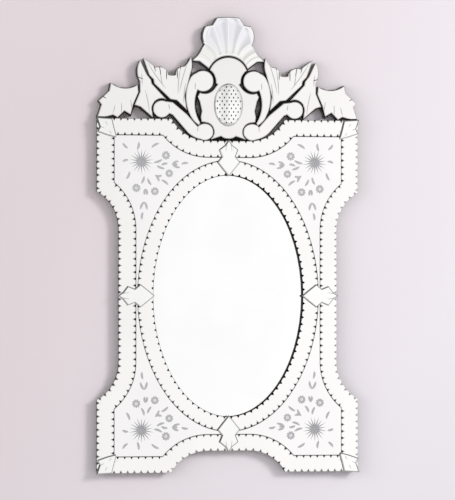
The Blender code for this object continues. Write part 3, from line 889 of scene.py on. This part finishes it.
dome = bmesh.new()
bmesh.ops.create_circle(dome, cap_ends=True, segments=DOME_STEPS, radius=1)
bmesh.ops.rotate(dome, verts=dome.verts, matrix=Matrix.Rotation(math.pi / 2, 3, "X"))
bmesh.ops.scale(dome, verts=dome.verts, vec=(dome_half.x, 1, dome_half.z))
bmesh.ops.translate(dome, verts=dome.verts, vec=(dome_middle.x, dome_high.y, dome_middle.z))
raised = bmesh.ops.extrude_face_region(dome, geom=dome.faces[:], use_keep_orig=True)["geom"]
lifted = [item for item in raised if isinstance(item, bmesh.types.BMVert)]
bmesh.ops.translate(dome, verts=lifted, vec=(0, -RIM_HEIGHT, 0))
dome.normal_update()
bmesh.ops.recalc_face_normals(dome, faces=dome.faces)
for face in dome.faces:
    face.material_index = EDGE if abs(face.normal.y) < STEEP else POLISHED
crown = next(item for item in raised if isinstance(item, bmesh.types.BMFace))
bmesh.ops.inset_region(
    dome, faces=[crown], thickness=RING_WIDTH, depth=RING_RISE, use_even_offset=True
)
for face in dome.faces:
    if RING_STEEP < abs(face.normal.y) < FLAT:
        face.material_index = POLISHED
crown.material_index = CROWN
cells = math.ceil(2 * dome_half.z / DIAMOND[1]) + math.ceil(2 * dome_half.x / DIAMOND[0])
for lean in (-1, 1):
    across = Vector((lean / DIAMOND[0], 0, 1 / DIAMOND[1]))
    for number in range(-cells, cells + 1):
        faces, edges, verts = numbered(dome, CROWN)
        bmesh.ops.bisect_plane(
            dome, geom=faces + edges + verts, dist=MERGE, plane_no=across.normalized(),
            plane_co=dome_middle + across * number / across.dot(across),
        )
faces, _, verts = numbered(dome, CROWN)
crossings = [vert for vert in verts if all(face.material_index == CROWN for face in vert.link_faces)]
crown_level = crown.verts[0].co.y
crown_rise = dome_low.y + 2 * DIAMOND_RISE - crown_level
for vert in crossings:
    off = vert.co - dome_middle
    share = Vector((off.x / dome_half.x, off.z / dome_half.z))
    vert.co.y = crown_level + crown_rise * (1 - share.length_squared)
pits = bmesh.ops.bevel(
    dome, geom=crossings, offset=PIT_RADIUS, segments=1, profile=0.5, affect="VERTICES",
    clamp_overlap=False, material=PIT,
)["faces"]
diamonds = [face for face in dome.faces if face.material_index == CROWN]
bmesh.ops.poke(dome, faces=diamonds, offset=DIAMOND_RISE)
bmesh.ops.poke(dome, faces=pits, offset=-PIT_DEPTH)
# The pits take the near-black ground edge finish: painted shade in the pits.
for face in dome.faces:
    face.material_index = EDGE if face.material_index in (EDGE, PIT) else POLISHED
put("diamond_cut_cabochon", dome, [cut_crystal(), edge_finish], "crest_cabochon")


# The studio: a pale wall behind the mirror and a pale floor below it, with a strong soft light from
# the right, a weaker one from the left, and a room in front for the glass to mirror.

WALL_PLACE = 0.001
FLOOR_DROP = 0.75
STAGE_SIZE = 9.0
ROOM_BRIGHTNESS = 1.05
# How light the room in front is, from left to right and then from below to above, each by the share
# of the way: the glass's flat faces look to just right of the middle, between two windows.
ROOM_ACROSS = [
    (0.0, 0.08), (0.13, 0.15), (0.19, 0.45), (0.27, 0.97), (0.41, 0.97), (0.52, 0.80), (0.584, 0.88),
    (0.594, 0.93), (0.605, 0.96), (0.622, 1.0), (0.80, 0.97), (0.90, 0.72), (0.96, 0.38), (1.0, 0.2),
]
ROOM_UPWARDS = [
    (0.0, 0.25), (0.25, 0.6), (0.36, 0.95), (0.5, 1.0), (0.52, 0.985), (0.54, 0.93), (0.66, 0.88),
    (0.80, 0.55), (0.90, 0.2), (1.0, 0.2),
]


def pale(name, left, right):
    made, place, shader = new_finish(name, {"Roughness": 0.9, "Specular IOR Level": 0.1})
    across = place.node("ShaderNodeSeparateXYZ", {}, {"Vector": place}, "X")
    height = place.node("ShaderNodeSeparateXYZ", {}, {"Vector": place}, "Z")
    # Where left and right differ, the colour runs lighter to the right and lower down: painted light
    # across the wall.
    link(colours(0.4 + 0.75 * across - 0.4 * height, (0.0, left), (1.0, right)), shader, "Base Color")
    return made


def one_sided(made):
    """Seen from behind, the wall is clear, so that the back of the mirror can be looked at."""
    nodes = made.node_tree.nodes
    shader = nodes["Principled BSDF"]
    start = Finish(made.node_tree)
    behind = start.node("ShaderNodeNewGeometry", {}, {}, "Backfacing")
    link(1 - behind, shader, "Alpha")
    return made


wall_shape = bmesh.new()
bmesh.ops.create_grid(wall_shape, x_segments=1, y_segments=1, size=STAGE_SIZE / 2)
bmesh.ops.rotate(wall_shape, verts=wall_shape.verts, matrix=Matrix.Rotation(math.pi / 2, 3, "X"))
bmesh.ops.translate(wall_shape, verts=wall_shape.verts, vec=(0, WALL_PLACE, 0))
wall_mesh = bpy.data.meshes.new("wall")
wall_shape.to_mesh(wall_mesh)
wall_mesh.materials.append(one_sided(pale("wall_painted_light", (0.765, 0.685, 0.713), (0.905, 0.862, 0.912))))
wall = bpy.data.objects.new("wall", wall_mesh)
bpy.context.scene.collection.objects.link(wall)
wall.visible_shadow = False
wall.visible_diffuse = False
wall.visible_glossy = False

floor_shape = bmesh.new()
bmesh.ops.create_grid(floor_shape, x_segments=1, y_segments=1, size=STAGE_SIZE / 2)
bmesh.ops.translate(floor_shape, verts=floor_shape.verts, vec=(0, 0, cad_box[0][2] - FLOOR_DROP))
floor_mesh = bpy.data.meshes.new("floor")
floor_shape.to_mesh(floor_mesh)
floor_mesh.materials.append(pale("pale_floor", (0.7, 0.68, 0.68), (0.7, 0.68, 0.68)))
floor = bpy.data.objects.new("floor", floor_mesh)
bpy.context.scene.collection.objects.link(floor)

world = bpy.data.worlds.new("studio")
bpy.context.scene.world = world
world.use_nodes = True
background = world.node_tree.nodes["Background"]
background.inputs["Strength"].default_value = ROOM_BRIGHTNESS
room = Finish(world.node_tree)
towards = room.node("ShaderNodeTexCoord", {}, {}, "Generated")
across = room.node("ShaderNodeSeparateXYZ", {}, {"Vector": towards}, "X")
upwards = room.node("ShaderNodeSeparateXYZ", {}, {"Vector": towards}, "Z")
across_stops = [(share, (grey,) * 3) for share, grey in ROOM_ACROSS]
upwards_stops = [(share, (grey,) * 3) for share, grey in ROOM_UPWARDS]
light_across = colours(0.5 + 0.5 * across, *across_stops)
light_upwards = colours(0.5 + 0.5 * upwards, *upwards_stops)
both_ways = {0: light_across, 1: light_upwards}
mixed = room.node("ShaderNodeVectorMath", {"operation": "MULTIPLY"}, both_ways, "Vector")
link(mixed, background, "Color")


def soft_light(name, place, aim, width, power):
    light = bpy.data.lights.new(name, "AREA")
    light.shape = "DISK"
    light.size = width
    light.energy = power
    lamp = bpy.data.objects.new(name, light)
    lamp.location = place
    lamp.rotation_euler = (Vector(aim) - Vector(place)).to_track_quat("-Z", "Y").to_euler()
    lamp.visible_glossy = False
    bpy.context.scene.collection.objects.link(lamp)
    return lamp


soft_light("key_light", (5.8, -5.8, 2.65), (0, 0, -0.25), 2.8, 330)
soft_light("fill_light", (-5.4, -3.0, 0.6), (0, 0, -0.25), 4.0, 104)

CAMERA_DISTANCE = 10.0
CAMERA_YAW = math.radians(12)
CAMERA_PITCH = math.radians(0.83)
CAMERA_AIM = Vector((0.0027, 0, -0.2507))
LENS = 269.8
lens = bpy.data.cameras.new("camera")
lens.lens = LENS
lens.sensor_width = 36
lens.clip_end = 100
camera = bpy.data.objects.new("camera", lens)
way = Vector((
    math.sin(CAMERA_YAW) * math.cos(CAMERA_PITCH),
    math.cos(CAMERA_YAW) * math.cos(CAMERA_PITCH),
    math.sin(CAMERA_PITCH),
))
camera.location = CAMERA_AIM - way * CAMERA_DISTANCE
camera.rotation_euler = way.to_track_quat("-Z", "Y").to_euler()
bpy.context.scene.collection.objects.link(camera)
bpy.context.scene.camera = camera
bpy.context.scene.view_settings.view_transform = "Standard"
